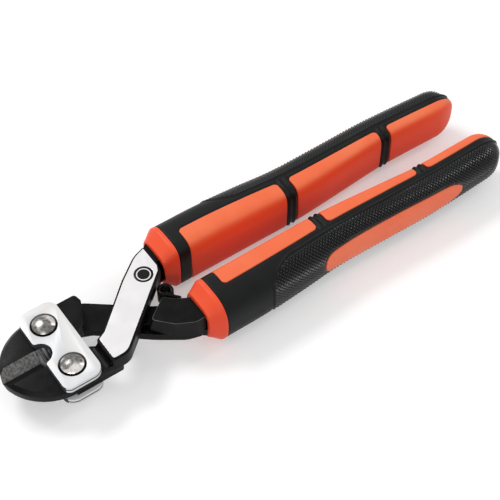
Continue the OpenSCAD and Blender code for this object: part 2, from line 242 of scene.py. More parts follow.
class Graph(Nodes):
    """The nodes of one material."""

    def __init__(self, name: str) -> None:
        """Starts an empty material with a Principled shader."""
        self.material = bpy.data.materials.new(name)
        super().__init__(self.material)
        self.shader = self.node("ShaderNodeBsdfPrincipled")
        self.node("ShaderNodeOutputMaterial", {"Surface": self.shader.outputs[0]})
        self.place = self.node("ShaderNodeTexCoord").outputs["Object"]

    def stretched(self, scale: tuple[float, float, float], turn: float = 0.0) -> bpy.types.NodeSocket:
        """Gives Object coordinates turned about Z and then scaled along each axis."""
        spin = (0.0, 0.0, math.radians(turn))
        turned = self.node("ShaderNodeMapping", {"Vector": self.place, "Rotation": spin})
        node = self.node("ShaderNodeMapping", {"Vector": turned.outputs[0], "Scale": scale})
        return node.outputs[0]

    def noise(self, size_mm: float, detail: float, where: Optional[bpy.types.NodeSocket] = None) -> Signal:
        """Adds soft noise.

        Args:
            size_mm: The size of one patch of noise in millimetres.
            detail: How many finer layers it has.
            where: The coordinates; plain Object coordinates if left out.

        Returns:
            The noise, about 0 to 1.
        """
        inputs = {"Vector": where or self.place, "Scale": 1000.0 / size_mm, "Detail": detail}
        return Signal(self, self.node("ShaderNodeTexNoise", inputs).outputs[0])

    def facing_up(self) -> Signal:
        """How far the surface lies level, 0 on a wall and 1 on a flat top or underside."""
        normal = self.node("ShaderNodeNewGeometry").outputs["Normal"]
        height = Signal(self, self.node("ShaderNodeSeparateXYZ", {0: normal}).outputs["Z"])
        return height * height

    def mix(self, factor: object, first: object, second: object) -> bpy.types.NodeSocket:
        """Mixes two colours."""
        first = (*first, 1.0) if isinstance(first, tuple) else first
        second = (*second, 1.0) if isinstance(second, tuple) else second
        inputs = {0: factor, 6: first, 7: second}
        return self.node("ShaderNodeMix", inputs, data_type="RGBA", clamp_factor=True).outputs[2]

    def bump(self, height: Signal, depth_mm: float) -> bpy.types.NodeSocket:
        """Turns a height into a surface normal."""
        inputs = {"Height": height, "Distance": depth_mm * MM, "Strength": 1.0}
        return self.node("ShaderNodeBump", inputs).outputs[0]

    def finish(self, **sockets: object) -> bpy.types.Material:
        """Fills the shader's sockets and hands over the material.

        Args:
            **sockets: Socket names with underscores for spaces, and what goes in.

        Returns:
            The material.
        """
        for key, value in sockets.items():
            name = key.replace("_", " ")
            value = (*value, 1.0) if isinstance(value, tuple) else value
            socket = value.socket if isinstance(value, Signal) else value
            if isinstance(socket, bpy.types.NodeSocket):
                self.tree.links.new(socket, self.shader.inputs[name])
            else:
                self.shader.inputs[name].default_value = socket
        return self.material


# ---------------------------------------------------------------- finishes


@dataclass(frozen=True)
class MouldedRubber:
    """Soft rubber or plastic moulded over the handles."""

    name: str
    colour: Colour
    worn: Colour
    roughness: float
    grain_mm: float = 0.35
    grain_depth_mm: float = 0.02
    gloss: float = 0.14
    # painted shade: the deeper colour laid on walls, away from level tops and undersides
    wall: Optional[Colour] = None
    mottle_mm: float = 9.0
    rubbed_mm: float = 26.0

    def material(self) -> bpy.types.Material:
        """Makes the material: fine grain, slow mottling, rubbed patches, and painted shade that gives the
        walls a deeper colour than flat tops and undersides.
        """
        g = Graph(self.name)
        grain = g.noise(self.grain_mm, 3.0)
        mottle = g.noise(self.mottle_mm, 3.0)
        wear_and_edge_highlight = g.noise(self.rubbed_mm, 4.0).step(0.52, 0.75)
        shade = g.mix(mottle.step(0.3, 0.7, 0.0, 0.35), self.colour, self.worn)
        shade = g.mix(wear_and_edge_highlight * 0.45, shade, self.worn)
        # painted shade: walls take the deeper colour, level faces keep the lighter one
        if self.wall is not None:
            shade = g.mix(g.facing_up().step(0.05, 0.75), self.wall, shade)
        rough = grain.step(0.2, 0.8, self.roughness - 0.05, self.roughness + 0.07) - wear_and_edge_highlight * 0.06
        return g.finish(
            Base_Color=shade,
            Roughness=rough,
            Normal=g.bump(grain, self.grain_depth_mm),
            Specular_IOR_Level=self.gloss,
        )


@dataclass(frozen=True)
class BlackForging:
    """Forged steel under a thin black coat, a little cloudy and pitted."""

    name: str
    colour: Colour
    bare: Colour
    roughness: float
    grain_mm: float = 0.5
    scale_mm: float = 5.0

    def material(self) -> bpy.types.Material:
        """Makes the material: forging grain, faint scale and slightly greyer patches."""
        g = Graph(self.name)
        grain = g.noise(self.grain_mm, 4.0)
        scale = g.noise(self.scale_mm, 5.0)
        shade = g.mix(scale.step(0.42, 0.7, 0.0, 0.55), self.colour, self.bare)
        rough = scale.step(0.3, 0.7, self.roughness - 0.07, self.roughness + 0.08)
        return g.finish(
            Base_Color=shade,
            Roughness=rough,
            Normal=g.bump(grain * 0.6 + scale * 0.8, 0.025),
            Specular_IOR_Level=0.1,
        )


@dataclass(frozen=True)
class GroundSteel:
    """Bare steel straight from the grinding wheel, with marks across the edge."""

    name: str
    colour: Colour
    dark: Colour
    mark_mm: float
    mark_share: float = 0.75
    cloud_mm: float = 1.1

    def material(self) -> bpy.types.Material:
        """Makes the material: long grinding marks over a cloudy grey."""
        g = Graph(self.name)
        marks = g.noise(self.mark_mm, 2.0, g.stretched((1.0, 0.06, 0.06)))
        cloud = g.noise(self.cloud_mm, 4.0)
        light = marks.step(0.36, 0.64) * self.mark_share + cloud.step(0.35, 0.65) * (1 - self.mark_share)
        return g.finish(
            Base_Color=g.mix(light, self.dark, self.colour),
            Metallic=0.75,
            Roughness=marks.step(0.3, 0.7, 0.34, 0.5),
            Normal=g.bump(marks, 0.03),
        )


@dataclass(frozen=True)
class PlatedSteel:
    """Pale zinc plating with a faint blue and straw tint."""

    name: str
    colour: Colour
    cool: Colour
    warm: Colour
    roughness: float
    tint_mm: float = 13.0
    crystal_mm: float = 0.7

    def material(self) -> bpy.types.Material:
        """Makes the material: slow tints, fine crystals and a soft gloss."""
        g = Graph(self.name)
        tint = g.noise(self.tint_mm, 2.0)
        crystal = g.noise(self.crystal_mm, 3.0)
        shade = g.mix(tint.step(0.45, 0.62), self.colour, self.cool)
        shade = g.mix(tint.step(0.5, 0.3, 0.0, 0.6), shade, self.warm)
        return g.finish(
            Base_Color=shade,
            Metallic=0.12,
            Roughness=crystal.step(0.25, 0.75, self.roughness - 0.05, self.roughness + 0.07),
            Normal=g.bump(crystal, 0.004),
        )


@dataclass(frozen=True)
class PolishedStrip:
    """Bright strip, polished along its length."""

    name: str
    colour: Colour
    turn: float
    line_mm: float = 0.5
    haze_mm: float = 8.0

    def material(self) -> bpy.types.Material:
        """Makes the material: hair lines along the strip over a mirror polish."""
        g = Graph(self.name)
        lines = g.noise(self.line_mm, 3.0, g.stretched((0.05, 1.0, 1.0), self.turn))
        haze = g.noise(self.haze_mm, 2.0)
        dim = tuple(c * 0.985 for c in self.colour)
        return g.finish(
            Base_Color=g.mix(lines.step(0.35, 0.7), self.colour, dim),
            Metallic=1.0,
            Roughness=lines.step(0.3, 0.7, 0.16, 0.2) + haze.step(0.4, 0.7, 0.0, 0.05),
            Normal=g.bump(lines, 0.0003),
        )


@dataclass(frozen=True)
class PeenedSteel:
    """Steel hammered over and tumbled bright, cloudy where it was struck."""

    name: str
    bright: Colour
    dark: Colour
    dent_mm: float = 5.5
    fine_mm: float = 1.2

    def material(self) -> bpy.types.Material:
        """Makes the material: cloudy light and dark patches with soft dents."""
        g = Graph(self.name)
        cloud = g.noise(self.dent_mm, 2.5)
        fine = g.noise(self.fine_mm, 3.0)
        shade = g.mix(cloud.step(0.42, 0.58) * 0.8 + fine.step(0.3, 0.7) * 0.2, self.dark, self.bright)
        return g.finish(
            Base_Color=shade,
            Metallic=1.0,
            Roughness=cloud.step(0.35, 0.65, 0.32, 0.2),
            Normal=g.bump(cloud + fine * 0.12, 0.3),
        )


@dataclass(frozen=True)
class LacqueredDisc:
    """Black lacquer on a small disc, with a bright ring in it."""

    name: str
    colour: Colour
    dust: Colour
    peel_mm: float = 0.9
    speck_mm: float = 0.25

    def material(self) -> bpy.types.Material:
        """Makes the material: gloss lacquer with the faintest orange peel."""
        g = Graph(self.name)
        peel = g.noise(self.peel_mm, 2.0)
        speck = g.noise(self.speck_mm, 2.0).step(0.66, 0.8)
        return g.finish(
            Base_Color=g.mix(speck * 0.5, self.colour, self.dust),
            Roughness=peel.step(0.3, 0.7, 0.26, 0.36),
            Normal=g.bump(peel, 0.01),
            Specular_IOR_Level=0.15,
        )


class Finishes:
    """All finishes of the tool, made once."""

    def __init__(self) -> None:
        """Makes each material."""
        # The wall colours of the orange panels and the collar are painted shade for their sides.
        orange = MouldedRubber(
            "orange_rubber", linear(240, 108, 64), linear(243, 126, 84), 0.48, gloss=0.32,
            wall=linear(235, 82, 44),
        )
        collar = MouldedRubber(
            "orange_collar", linear(240, 82, 44), linear(244, 98, 58), 0.42, gloss=0.3,
            wall=linear(232, 70, 36),
        )
        stripe = MouldedRubber("stripe_rubber", linear(246, 114, 76), linear(248, 130, 92), 0.48, gloss=0.3)
        black = MouldedRubber("black_rubber", linear(15, 16, 16), linear(25, 26, 26), 0.44, 0.4)
        knurl = MouldedRubber(
            "knurled_rubber", linear(10, 11, 11), linear(19, 20, 20), 0.27, 0.3, 0.003, 0.5
        )
        forging = BlackForging("black_forging", linear(5, 5, 5), linear(14, 13, 13), 0.33)
        # painted highlight: the rounded edges of jaws and bars get this lighter grey
        wear_and_edge_highlight = BlackForging("edge_highlight", linear(80, 79, 78), linear(122, 121, 120), 0.32)
        ground = GroundSteel("ground_edge", linear(118, 117, 116), linear(66, 65, 65), 0.5, 0.4)
        gullet = GroundSteel("milled_gullet", linear(150, 150, 150), linear(26, 26, 27), 0.9)
        zinc = PlatedSteel(
            "zinc_plate", linear(219, 219, 219), linear(212, 214, 216), linear(219, 217, 213), 0.45
        )
        # painted shade on the tie plates' groove, notch and forward walls
        punched = BlackForging("punched_edge", linear(54, 58, 66), linear(84, 88, 94), 0.4)
        strip = PolishedStrip("bright_strip", linear(232, 230, 231), -39.0)
        rivet = PeenedSteel("peened_rivet", linear(226, 222, 218), linear(88, 85, 83))
        spring = BlackForging("spring_steel", linear(6, 6, 6), linear(16, 15, 15), 0.24)
        disc = LacqueredDisc("black_disc", linear(12, 12, 13), linear(50, 50, 50))
        self.orange, self.collar, self.stripe = orange.material(), collar.material(), stripe.material()
        self.black, self.knurl = black.material(), knurl.material()
        self.forging, self.wear_and_edge_highlight = forging.material(), wear_and_edge_highlight.material()
        self.ground, self.gullet = ground.material(), gullet.material()
        self.zinc, self.punched, self.strip = zinc.material(), punched.material(), strip.material()
        self.rivet, self.spring, self.disc = rivet.material(), spring.material(), disc.material()


# ---------------------------------------------------------------- mesh work


class Workpiece:
    """A mesh being made, in tool millimetres until it is placed."""

    def __init__(self) -> None:
        """Starts with nothing."""
        self.bm = bmesh.new()

    @classmethod
    def from_node(cls, node: str) -> "Workpiece":
        """Starts from a merged copy of a CAD node, its flat faces made whole.

        Args:
            node: The CAD node's name.

        Returns:
            The copy, in tool millimetres of the upper side.
        """
        work = cls()
        work.bm.from_mesh(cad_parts[node].data)
        bmesh.ops.remove_doubles(work.bm, verts=work.bm.verts, dist=2e-6)
        back = ToolSpace.from_frame().matrix().inverted()
        bmesh.ops.transform(work.bm, matrix=back, verts=work.bm.verts)
        flat = math.radians(0.8)
        bm = work.bm
        bmesh.ops.dissolve_limit(bm, angle_limit=flat, verts=bm.verts, edges=bm.edges, delimit={"NORMAL"})
        return work

    def outline(self, corners: Sequence[tuple[float, float, float]], z: float) -> list:
        """Draws a flat closed outline with rounded corners.

        Args:
            corners: Each corner's x, y and radius, anticlockwise.
            z: The height to draw it at.

        Returns:
            The outline's edges.
        """
        verts = [self.bm.verts.new((x, y, z)) for x, y, _ in corners]
        self.bm.faces.new(verts)
        for i, (x, y, radius) in enumerate(corners):
            before = Vector(corners[i - 1][:2]) - Vector((x, y))
            after = Vector(corners[(i + 1) % len(corners)][:2]) - Vector((x, y))
            self.bevel([verts[i]], radius / math.tan(before.angle(after) / 2), 8, "VERTICES")
        face = next(f for f in self.bm.faces if abs(f.calc_center_median().z - z) < 1e-6)
        edges = list(face.edges)
        bmesh.ops.delete(self.bm, geom=[face], context="FACES_ONLY")
        return edges

    def circle(self, segments: int, radius: float, matrix: Matrix) -> tuple[list, list]:
        """Draws a circle and gives its points and its edges."""
        made = bmesh.ops.create_circle(self.bm, segments=segments, radius=radius, matrix=matrix)
        return made["verts"], list(dict.fromkeys(e for v in made["verts"] for e in v.link_edges))

    def plate(self, edges: list, thickness: float) -> None:
        """Fills flat outlines, holes among them, and gives the plate its thickness."""
        filled = bmesh.ops.triangle_fill(self.bm, use_beauty=True, use_dissolve=False, edges=edges)
        faces = [g for g in filled["geom"] if isinstance(g, bmesh.types.BMFace)]
        inside = list(dict.fromkeys(e for f in faces for e in f.edges))
        bmesh.ops.dissolve_limit(self.bm, angle_limit=0.01, verts=[], edges=inside)
        made = bmesh.ops.extrude_face_region(self.bm, geom=self.bm.faces[:])
        top = [g for g in made["geom"] if isinstance(g, bmesh.types.BMVert)]
        bmesh.ops.translate(self.bm, vec=(0, 0, thickness), verts=top)
        bmesh.ops.recalc_face_normals(self.bm, faces=self.bm.faces)

    def bevel(self, geom: list, width: float, segments: int, affect: str = "EDGES") -> None:
        """Rounds some edges, or some corners of a flat outline."""
        bmesh.ops.bevel(
            self.bm, geom=geom, offset=width, offset_type="OFFSET", affect=affect, segments=segments,
            profile=0.5, material=-1, clamp_overlap=affect == "EDGES",
        )

    def split(self, place: tuple[float, float, float], normal: tuple[float, float, float]) -> None:
        """Cuts new edges where a plane crosses the mesh."""
        bm = self.bm
        every = bm.verts[:] + bm.edges[:] + bm.faces[:]
        bmesh.ops.bisect_plane(bm, geom=every, dist=1e-5, plane_co=place, plane_no=normal)

    def close(self, reach: float) -> None:
        """Merges points nearer than a reach and turns the faces outwards."""
        bmesh.ops.remove_doubles(self.bm, verts=self.bm.verts, dist=reach)
        bmesh.ops.recalc_face_normals(self.bm, faces=self.bm.faces)

    def lathe(self, profile: Table, x: float, y: float, steps: int) -> None:
        """Turns a profile of (radius, height) points once round a line along Z."""
        verts = [self.bm.verts.new((x + r, y, z)) for r, z in profile]
        edges = [self.bm.edges.new(pair) for pair in zip(verts, verts[1:])]
        bmesh.ops.spin(
            self.bm, geom=verts + edges, cent=(x, y, 0), axis=(0, 0, 1), angle=math.tau, steps=steps,
            use_merge=True,
        )
        self.close(1e-4)

    def sheet(self, rows: int, columns: int, shape: Callable[[float, float], Vector]) -> None:
        """Lays a grid over a shape.

        Args:
            rows: Steps along the first direction.
            columns: Steps along the second one.
            shape: Gives the place of each point from two numbers, 0 to 1.
        """
        made = bmesh.ops.create_grid(self.bm, x_segments=rows, y_segments=columns, size=0.5)
        for vert in made["verts"]:
            vert.co = shape(vert.co.x + 0.5, vert.co.y + 0.5)

    def place(
        self,
        name: str,
        materials: Sequence[bpy.types.Material],
        space: ToolSpace,
        side: Side = Side.UPPER,
        sharp: float = 32.0,
    ) -> bpy.types.Object:
        """Makes the finished object.

        Args:
            name: The piece's name.
            materials: Its materials, in the order of the faces' numbers.
            space: Where the tool lies.
            side: The half of the tool that it goes on.
            sharp: Edges steeper than this many degrees stay crisp.

        Returns:
            The object, at the origin, with its place in its mesh.
        """
        mesh = bpy.data.meshes.new(name)
        self.bm.to_mesh(mesh)
        mesh.transform(space.matrix(side))
        for material in materials:
            mesh.materials.append(material)
        mesh.shade_smooth()
        mesh.set_sharp_from_angle(angle=math.radians(sharp))
        piece = bpy.data.objects.new(name, mesh)
        bpy.context.scene.collection.objects.link(piece)
        return piece


def seat(piece: bpy.types.Object, body: str, slot: str, *nodes: str) -> None:
    """Hangs a piece on its body in place of its CAD nodes, and reports it.

    Args:
        piece: The finished piece.
        body: The CAD body that it moves with.
        slot: Not used.
        *nodes: The CAD nodes that it stands for.
    """
    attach(piece, body)
    if nodes:
        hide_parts(*nodes)
    LOG.info("%s rides on %s, %d faces", piece.name, body, len(piece.data.polygons))


def weigh_edges(work: Workpiece, weight: Callable[[Vector], float], steep: float = 28.0) -> None:
    """Marks how much each steep edge is to be rounded.

    Args:
        work: The mesh, in tool millimetres.
        weight: Gives an edge's share of the full rounding from its middle point.
        steep: Edges flatter than this many degrees stay as they are.
    """
    layer = work.bm.edges.layers.float.new("bevel_weight_edge")
    for edge in work.bm.edges:
        if edge.calc_face_angle(0.0) > math.radians(steep):
            edge[layer] = weight((edge.verts[0].co + edge.verts[1].co) / 2)


def round_edges(piece: bpy.types.Object, width_mm: float, segments: int, material: int = -1) -> None:
    """Adds a live bevel to the edges that were weighed.

    Args:
        piece: The placed piece.
        width_mm: The width of an edge of full weight.
        segments: Steps across the rounding.
        material: The number of the rounding's own finish; -1 keeps that of the faces beside it.
    """
    bevel = piece.modifiers.new("rounded_edges", "BEVEL")
    bevel.width = width_mm * MM
    bevel.segments = segments
    bevel.limit_method = "WEIGHT"
    bevel.material = material
    bevel.use_clamp_overlap = True
    bevel.miter_outer = "MITER_ARC"
    bevel.harden_normals = False


# ---------------------------------------------------------------- head


@dataclass
class Head:
    """The two tie plates and the rivets that carry the jaws."""

    space: ToolSpace
    finishes: Finishes
    half_jaw: float = 3.25
    plate_t: float = 3.0
    front: float = -8.0
    rear: float = 9.0
    half_length: float = 20.3
    notch_r: float = 4.8
    notch_tangent: float = 4.03
    notch_mouth: float = 4.91
    lip_r: float = 1.2
    front_r: tuple[float, float] = (3.0, 5.0)
    rear_r: float = 4.5
    rim: float = 0.4
    under_rim: float = 0.35
    seat_rim: float = 0.2
    groove_drop: float = 1.45
    groove_half: float = 0.35
    groove_depth: float = 0.45
    rivet_y: float = 11.0
    head_r: float = 4.65
    foot_r: float = 4.95
    seat_r: float = 5.5
    shank_r: float = 4.0
    head_gap: float = 0.3
    dome_h: float = 1.8

    def from_rivet(self, point: Vector) -> float:
        """Distance of a point from the nearer rivet's axis."""
        return (point.xy - Vector((0, math.copysign(self.rivet_y, point.y)))).length

    def on_side(self, point: Vector) -> bool:
        """Whether a point of the plate's wall lies outside the rivets' seats."""
        return self.from_rivet(point) > self.seat_r + 0.1

    def plate_mesh(self) -> Workpiece:
        """Cuts the plate out, drills it and rounds its rims."""
        work = Workpiece()
        inner = self.front + 0.2 + self.notch_r
        low = self.half_jaw
        top = low + self.plate_t
        corners = [
            (self.front, -self.half_length, self.front_r[0]),
            (self.rear, -self.half_length, self.rear_r),
            (self.rear, self.half_length, self.rear_r),
            (self.front, self.half_length, self.front_r[1]),
            (self.front, self.notch_mouth, self.lip_r),
            (inner, self.notch_tangent, self.notch_r),
            (inner, -self.notch_tangent, self.notch_r),
            (self.front, -self.notch_mouth, self.lip_r),
        ]
        edges = work.outline(corners, low)
        for sign in (-1, 1):
            edges += work.circle(64, self.seat_r, Matrix.Translation((0, sign * self.rivet_y, low)))[1]
        work.plate(edges, self.plate_t)

        def rims(level: float, test: Callable[[Vector], bool]) -> list:
            """The steep edges at a level whose ends pass a test."""
            return [
                e for e in work.bm.edges
                if e.calc_face_angle(0.0) >= 0.5
                and all(abs(v.co.z - level) < 1e-4 and test(v.co) for v in e.verts)
            ]

        work.bevel(rims(top, self.on_side), self.rim, 3)
        work.bevel(rims(low, self.on_side), self.under_rim, 3)
        work.bevel(rims(top, lambda p: abs(self.from_rivet(p) - self.seat_r) < 0.02), self.seat_rim, 2)
        self.cut_groove(work, top - self.groove_drop)
        self.paint_wall_shade(work, low, top)
        return work

    def cut_groove(self, work: Workpiece, level: float) -> None:
        """Cuts the line that pressing leaves along the plate's outer side."""
        for rise in (-self.groove_half, 0.0, self.groove_half):
            work.split((0, 0, level + rise), (0, 0, 1))
        work.bm.normal_update()
        ring = [v for v in work.bm.verts if abs(v.co.z - level) < 1e-4]
        inward = {v: v.normal.copy() for v in ring}
        for vert in ring:
            if self.on_side(vert.co):
                vert.co -= inward[vert] * self.groove_depth

    def paint_wall_shade(self, work: Workpiece, low: float, top: float) -> None:
        """Paints shade on the groove, the notch and the walls that face forward, by giving them the dark
        finish.
        """
        work.bm.normal_update()
        for face in work.bm.faces:
            centre = face.calc_center_median()
            if not self.on_side(centre) or not low + 0.1 < centre.z < top - 0.2:
                continue
            in_notch = abs(centre.y) < self.notch_mouth + 0.29 and centre.x < 3.0
            in_groove = abs(centre.z - top + self.groove_drop) < 0.3
            if face.normal.x < -0.8 or in_notch or in_groove:
                face.material_index = 1

    def rivet_mesh(self) -> Workpiece:
        """Turns a rivet with a domed head at each end."""
        level = self.half_jaw + self.plate_t
        base = level + self.head_gap
        ball = (self.head_r**2 + self.dome_h**2) / (2 * self.dome_h)
        top = base + self.dome_h
        turns = [math.asin(self.head_r / ball) * k / 12 for k in range(13)]
        half = [(ball * math.sin(a), top - ball * (1 - math.cos(a))) for a in turns]
        half += [(self.head_r + 0.08, base - 0.12), (self.foot_r, base - 0.4)]
        half += [(self.foot_r, level - 0.8), (self.shank_r, level - 0.8)]
        work = Workpiece()
        work.lathe(half + [(r, -z) for r, z in reversed(half)], 0, 0, 72)
        # The foot under each dome gets the black forging, painted shade in the gap round the dome; the
        # hidden shank gets it too.
        for face in work.bm.faces:
            centre = face.calc_center_median()
            if centre.xy.length > self.head_r - 0.02 or abs(centre.z) < base - 0.3:
                face.material_index = 1
        return work

    def build(self) -> None:
        """Makes both plates and both rivets."""
        # The plate's second finish is painted shade for its groove, notch and forward walls.
        materials = [self.finishes.zinc, self.finishes.punched]
        for side, word in ((Side.UPPER, "top"), (Side.LOWER, "bottom")):
            name = f"{word}_tie_plate"
            piece = self.plate_mesh().place(f"{name}_pressing", materials, self.space, side, 40)
            seat(piece, "head", "zinc_plate", name)
        materials = [self.finishes.rivet, self.finishes.forging]
        for side in Side:
            work = self.rivet_mesh()
            bmesh.ops.translate(work.bm, vec=(0, self.rivet_y, 0), verts=work.bm.verts)
            name = f"{side.value}_jaw_rivet"
            piece = work.place(f"{name}_peened", materials, self.space, side, 50)
            seat(piece, "head", "rivet_steel", name)


# ---------------------------------------------------------------- jaws


@dataclass
class Jaw:
    """One forged jaw with its long arm, softened where the hammer left it round."""

    space: ToolSpace
    finishes: Finishes
    side: Side
    node: str
    body: str
    gullet_x: float = -8.6
    nose_x: float = -3.0
    bevel_w: float = 4.4
    edge_r: float = 0.8

    def roundness(self, middle: Vector) -> float:
        """Share of the full rounding: crisp blades, soft outer arm edges."""
        if middle.x < self.nose_x + 0.2:
            return 0.12 if abs(middle.y) < self.bevel_w + 0.3 else 0.3
        return 1.0 if abs(middle.z) > 6.0 else 0.4

    def build(self) -> None:
        """Makes the jaw from the CAD shape and dresses its ground faces."""
        work = Workpiece.from_node(self.node)
        work.split((self.gullet_x, 0, 0), (1, 0, 0))
        for face in work.bm.faces:
            centre = face.calc_center_median()
            slanted = 0.3 < abs(face.normal.z) < 0.95 and abs(face.normal.x) < 0.1
            if slanted and abs(centre.y) < self.bevel_w and centre.x < self.nose_x:
                if centre.x > self.gullet_x:
                    face.material_index = 2
                # Ground faces where y and z differ in sign keep the black forging: painted shade on the
                # bevel turned from the light.
                elif centre.y * centre.z > 0:
                    face.material_index = 1
        weigh_edges(work, self.roundness)
        f = self.finishes
        materials = [f.forging, f.ground, f.gullet, f.wear_and_edge_highlight]
        piece = work.place(f"{self.node}_forging", materials, self.space, Side.UPPER, 40)
        # the rounding gets finish 3, the painted highlight
        round_edges(piece, self.edge_r, 4, 3)
        seat(piece, self.body, "forged_steel", self.node)


@dataclass
class CoverStrip:
    """The bright strip on an arm and the disc let into it."""

    space: ToolSpace
    finishes: Finishes
    side: Side
    word: str
    body: str
    level: float = 7.05
    badge_x: float = 44.8
    badge_y: float = 9.1
    badge_r: float = 4.0
    ring: tuple[float, float] = (1.45, 1.0)

    def build(self) -> None:
        """Makes the strip and its disc."""
        work = Workpiece.from_node(f"{self.word}_cover")
        weigh_edges(work, lambda middle: 1.0)
        piece = work.place(f"{self.word}_cover_strip", [self.finishes.strip], self.space, Side.UPPER, 30)
        round_edges(piece, 0.2, 3)
        seat(piece, self.body, "chrome_strip", f"{self.word}_cover")
        disc = Workpiece()
        r = self.badge_r
        top = self.level
        low = top - 0.4
        inner, outer = (r - inset for inset in self.ring)
        profile = [
            (0, top + 0.02), (inner - 0.1, top + 0.02), (inner, top - 0.06), (outer, top - 0.06),
            (outer + 0.1, top + 0.04), (r - 0.2, top + 0.04), (r - 0.05, top - 0.04),
            (r - 0.02, low), (0, low),
        ]
        disc.lathe(profile, self.badge_x, self.badge_y, 64)
        for face in disc.bm.faces:
            centre = face.calc_center_median()
            reach = (centre.xy - Vector((self.badge_x, self.badge_y))).length
            if inner < reach < outer and centre.z > low + 0.1:
                face.material_index = 1
        materials = [self.finishes.disc, self.finishes.strip]
        piece = disc.place(f"{self.word}_badge_disc", materials, self.space, self.side, 30)
        seat(piece, self.body, "black_print", f"{self.word}_badge")


# ---------------------------------------------------------------- bars and spring


@dataclass
class HandleBar:
    """The forged bar that carries a grip, with its soft shoulder.

    The shoulder's front corner, or toe, is drawn forward, further at its foot
    than on top, and its outer side is swelled from there to the collar.
    """

    space: ToolSpace
    finishes: Finishes
    side: Side
    edge_r: float = 0.9
    half_stack: float = 6.25
    toe_x: float = 38.6
    toe_y: float = 10.2
    toe: float = 1.0
    toe_slant: float = 0.18
    toe_slope: float = 0.825
    side_start: tuple[float, float] = (36.9, 11.2)
    side_slope: float = 0.62
    flare: float = 1.4
    flare_rise: tuple[float, float] = (36.0, 38.5)
    flare_fall: tuple[float, float] = (52.0, 56.0)

    def reshape(self, point: Vector) -> Vector:
        """Gives the new place of one point of the CAD shape."""
        x, y, z = point
        out = math.copysign(1.0, y)
        if abs(y) > self.toe_y and x < self.toe_x:
            up = -z if self.side is Side.UPPER else z
            reach = self.toe + self.toe_slant * (self.half_stack - up)
            x -= reach
            y -= out * self.toe_slope * reach
        side = self.side_start[1] + self.side_slope * (x - self.side_start[0])
        if abs(y) > side and x < self.flare_fall[1]:
            share = self.flare * smooth_step(*self.flare_rise, x) * (1 - smooth_step(*self.flare_fall, x))
            x -= 0.5 * share
            y += 0.85 * out * share
        return Vector((x, y, z))

    def build(self) -> None:
        """Makes the bar from the CAD shape and rounds it as a forging is."""
        word = self.side.value
        work = Workpiece.from_node(f"{word}_handle_bar")
        for vert in work.bm.verts:
            vert.co = self.reshape(vert.co)
        weigh_edges(work, lambda middle: 1.0 if abs(middle.z) > 6.0 else 0.2)
        materials = [self.finishes.forging, self.finishes.wear_and_edge_highlight]
        piece = work.place(f"{word}_bar_forging", materials, self.space, Side.UPPER, 40)
        # the rounding gets finish 1, the painted highlight
        round_edges(piece, self.edge_r, 5, 1)
        seat(piece, f"{word}_handle", "forged_steel", f"{word}_handle_bar")


@dataclass
class TorsionSpring:
    """The coil between the arms, with a leg along each bar."""

    space: ToolSpace
    finishes: Finishes
    x: float = 49.1
    coil_r: float = 2.6
    wire_r: float = 0.8
    turns: int = 5
    steps_a_turn: int = 28
    leg_turn: float = 50.0
    leg_length: float = 7.5

    @property
    def half_height(self) -> float:
        """Height of the last turn's middle, with hardly any gap between turns."""
        return self.wire_r * 1.92 * self.turns / 2

    def coil_mesh(self) -> Workpiece:
        """Winds the coil: the wire's section is spun and lifted at once."""
        work = Workpiece()
        bm = work.bm
        lay = Matrix.Translation((self.coil_r, 0, -self.half_height)) @ Matrix.Rotation(math.pi / 2, 4, "X")
        verts, edges = work.circle(12, self.wire_r, lay)
        steps = self.steps_a_turn * self.turns
        bmesh.ops.spin(
            bm, geom=edges + verts, cent=(0, 0, 0), dvec=(0, 0, 2 * self.half_height / steps),
            axis=(0, 0, 1), angle=math.tau * self.turns, steps=steps, use_merge=False,
        )
        bmesh.ops.holes_fill(bm, edges=[e for e in bm.edges if e.is_boundary], sides=20)
        bmesh.ops.recalc_face_normals(bm, faces=bm.faces)
        place = Matrix.Translation((self.x, 0, 0)) @ Matrix.Rotation(-math.pi / 2, 4, "Z")
        bmesh.ops.transform(bm, matrix=place, verts=bm.verts)
        return work

    def leg_mesh(self) -> Workpiece:
        """Draws the leg at the coil's upper end: straight, with a rounded tip."""
        work = Workpiece()
        end, r = self.leg_length, self.wire_r
        work.lathe([(0, 0), (r, 0), (r, end - 0.5), (r * 0.75, end - 0.1), (0, end)], 0, 0, 14)
        lay = Matrix.Translation((self.x, 0, 0)) @ Matrix.Rotation(math.radians(-self.leg_turn), 4, "Z")
        lay = lay @ Matrix.Translation((0, -self.coil_r, self.half_height))
        lay = lay @ Matrix.Rotation(math.pi / 2, 4, "Y")
        bmesh.ops.transform(work.bm, matrix=lay, verts=work.bm.verts)
        return work

    def build(self) -> None:
        """Makes the coil and its two legs."""
        coil = self.coil_mesh().place("spring_coil", [self.finishes.spring], self.space)
        seat(coil, "head", "spring_steel", "torsion_spring")
        for side in Side:
            leg = self.leg_mesh().place(f"{side.value}_spring_leg", [self.finishes.spring], self.space, side)
            seat(leg, "head", "spring_steel")


# ---------------------------------------------------------------- grips


